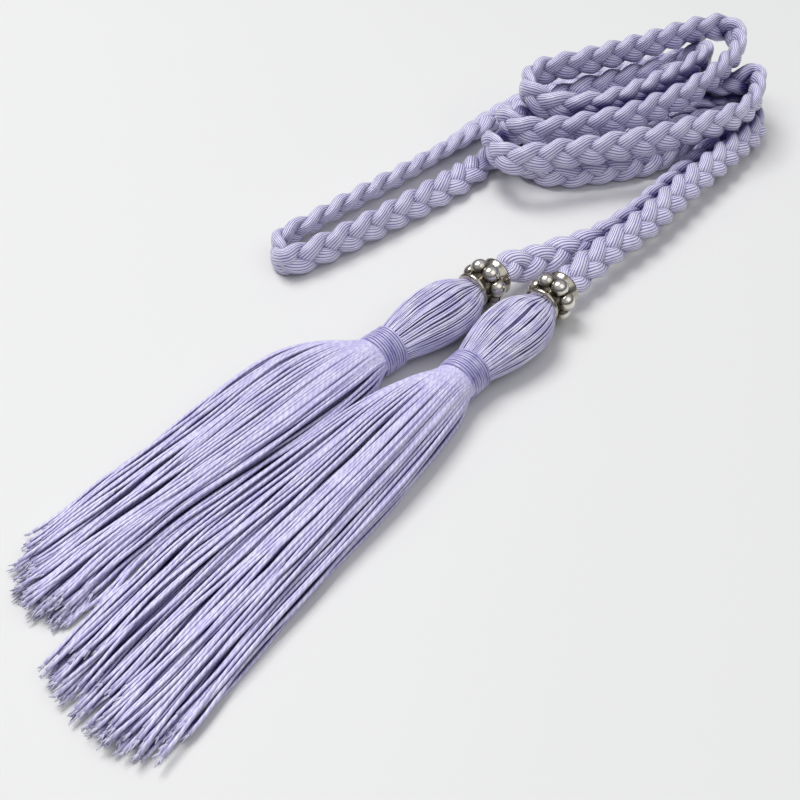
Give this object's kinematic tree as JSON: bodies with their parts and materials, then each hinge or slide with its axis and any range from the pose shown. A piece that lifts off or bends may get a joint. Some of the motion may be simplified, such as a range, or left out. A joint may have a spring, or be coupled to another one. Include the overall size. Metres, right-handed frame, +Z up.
{
  "type": "tassel belt",
  "caption": "Flat braided cord belt lying in a loose coil, folded in half, with a metal bead and a bound thread tassel on each end",
  "frame": {"origin": "bottom centre of the bounding box, on the surface the belt lies on", "axes": "+X from the tassels along the near run of braid to the coil, +Z up"},
  "size_m": [0.2648, 0.0998, 0.0256],
  "materials": {
    "cord": "silky lilac viscose thread",
    "wrap": "shiny lilac thread, tightly wound",
    "bead": "antique silver coloured cast metal"
  },
  "bodies": {
    "root": {"braid": "cord", "bead_front": "bead", "head_front": "cord", "wrap_front": "wrap", "skirt_front": "cord", "bead_rear": "bead", "head_rear": "cord", "wrap_rear": "wrap", "skirt_rear": "cord"}
  },
  "joints": []
}
